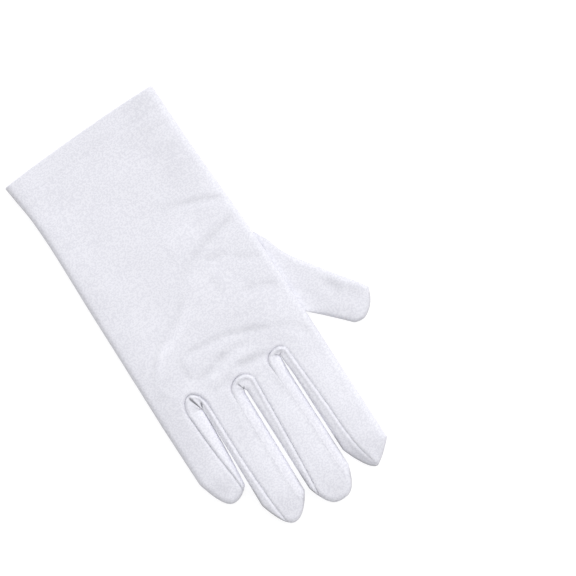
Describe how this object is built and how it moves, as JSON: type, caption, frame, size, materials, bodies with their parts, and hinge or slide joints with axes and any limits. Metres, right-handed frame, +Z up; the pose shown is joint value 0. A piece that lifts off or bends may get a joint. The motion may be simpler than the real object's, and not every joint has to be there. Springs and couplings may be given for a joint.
{
  "type": "wrist length dress glove",
  "caption": "Wrist length dress glove of thin white knit for the right hand, lying palm down with its thumb folded under the hand.",
  "frame": {"origin": "on the surface that the glove lies on, under the middle of the outline's box", "axes": "+Y from the cuff to the fingertips, +X to the little finger, +Z up through the back of the hand"},
  "size_m": [0.1306, 0.2328, 0.0126],
  "materials": {
    "white_knit": "smooth thin knit with a slight sheen"
  },
  "bodies": {
    "root": {"hand_body": "white_knit", "fourchette_index_middle": "white_knit", "fourchette_middle_ring": "white_knit", "fourchette_ring_little": "white_knit", "thumb": "white_knit"}
  },
  "joints": []
}
